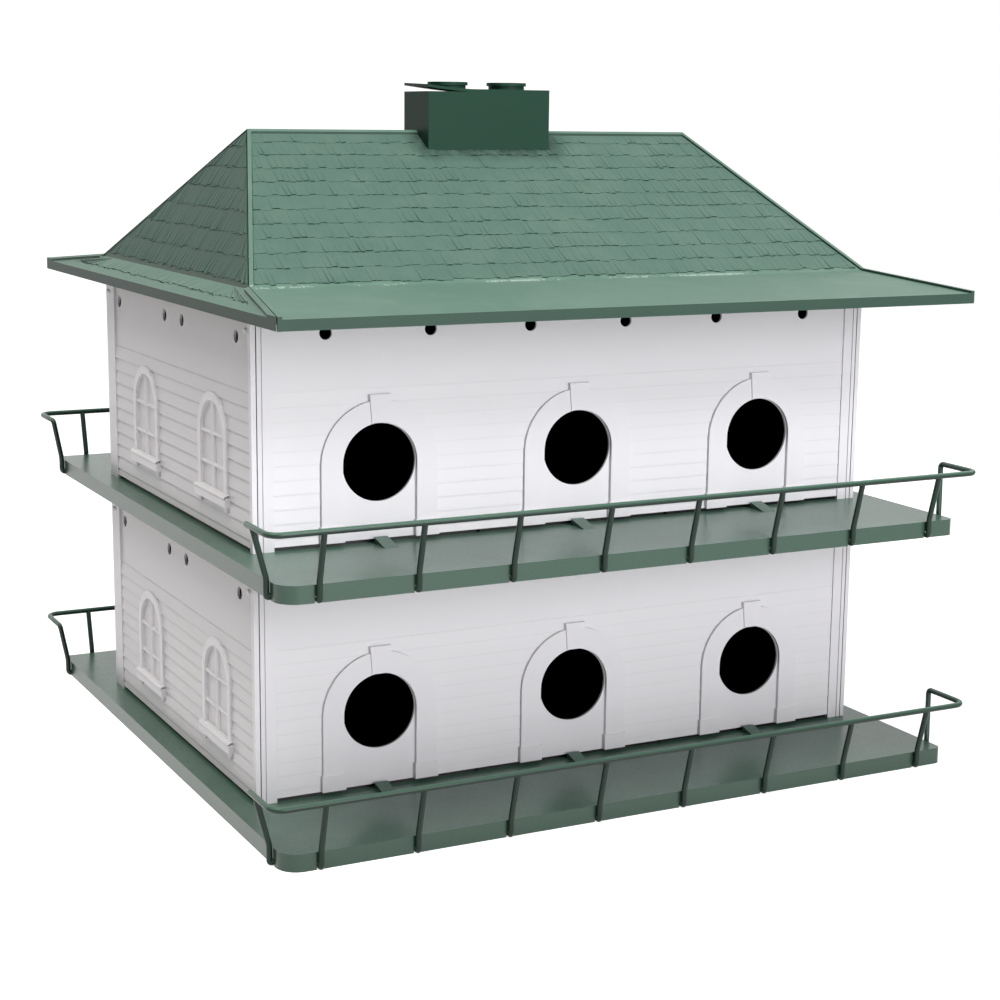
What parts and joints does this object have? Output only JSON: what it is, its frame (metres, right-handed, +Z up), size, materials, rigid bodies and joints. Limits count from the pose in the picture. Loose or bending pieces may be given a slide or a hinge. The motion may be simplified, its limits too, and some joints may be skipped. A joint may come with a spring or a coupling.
{
  "type": "purple martin birdhouse",
  "caption": "Two-storey martin house with round entrance holes, wide railed decks, a flared hip roof and a low chimney.",
  "frame": {"origin": "on the floor under the middle of the house", "axes": "+Z up, X along the long front, the front faces -Y"},
  "size_m": [0.553, 0.555, 0.5003],
  "materials": {
    "wall_panel": "white moulded plastic, satin gloss",
    "inner_panel": "dark green moulded plastic, matt",
    "deck": "green moulded plastic, glossy",
    "roof": "green moulded plastic, satin with fine shingle relief",
    "chimney": "dark green moulded plastic, satin",
    "rail": "dark green moulded plastic, glossy",
    "plate": "galvanised sheet steel"
  },
  "bodies": {
    "root": {"lower_deck": "deck", "upper_deck": "deck", "pole_plate": "plate", "lower_front_wall": "wall_panel", "lower_back_wall": "wall_panel", "lower_left_wall": "wall_panel", "lower_right_wall": "wall_panel", "upper_front_wall": "wall_panel", "upper_back_wall": "wall_panel", "upper_left_wall": "wall_panel", "upper_right_wall": "wall_panel", "lower_long_divider": "inner_panel", "lower_left_divider": "inner_panel", "lower_right_divider": "inner_panel", "upper_long_divider": "inner_panel", "upper_left_divider": "inner_panel", "upper_right_divider": "inner_panel", "ceiling": "inner_panel", "roof_front": "roof", "roof_back": "roof", "roof_left": "roof", "roof_right": "roof", "chimney": "chimney", "chimney_cap": "chimney", "chimney_pots": "chimney", "lower_front_rail": "rail", "lower_back_rail": "rail", "upper_front_rail": "rail", "upper_back_rail": "rail"}
  },
  "joints": []
}
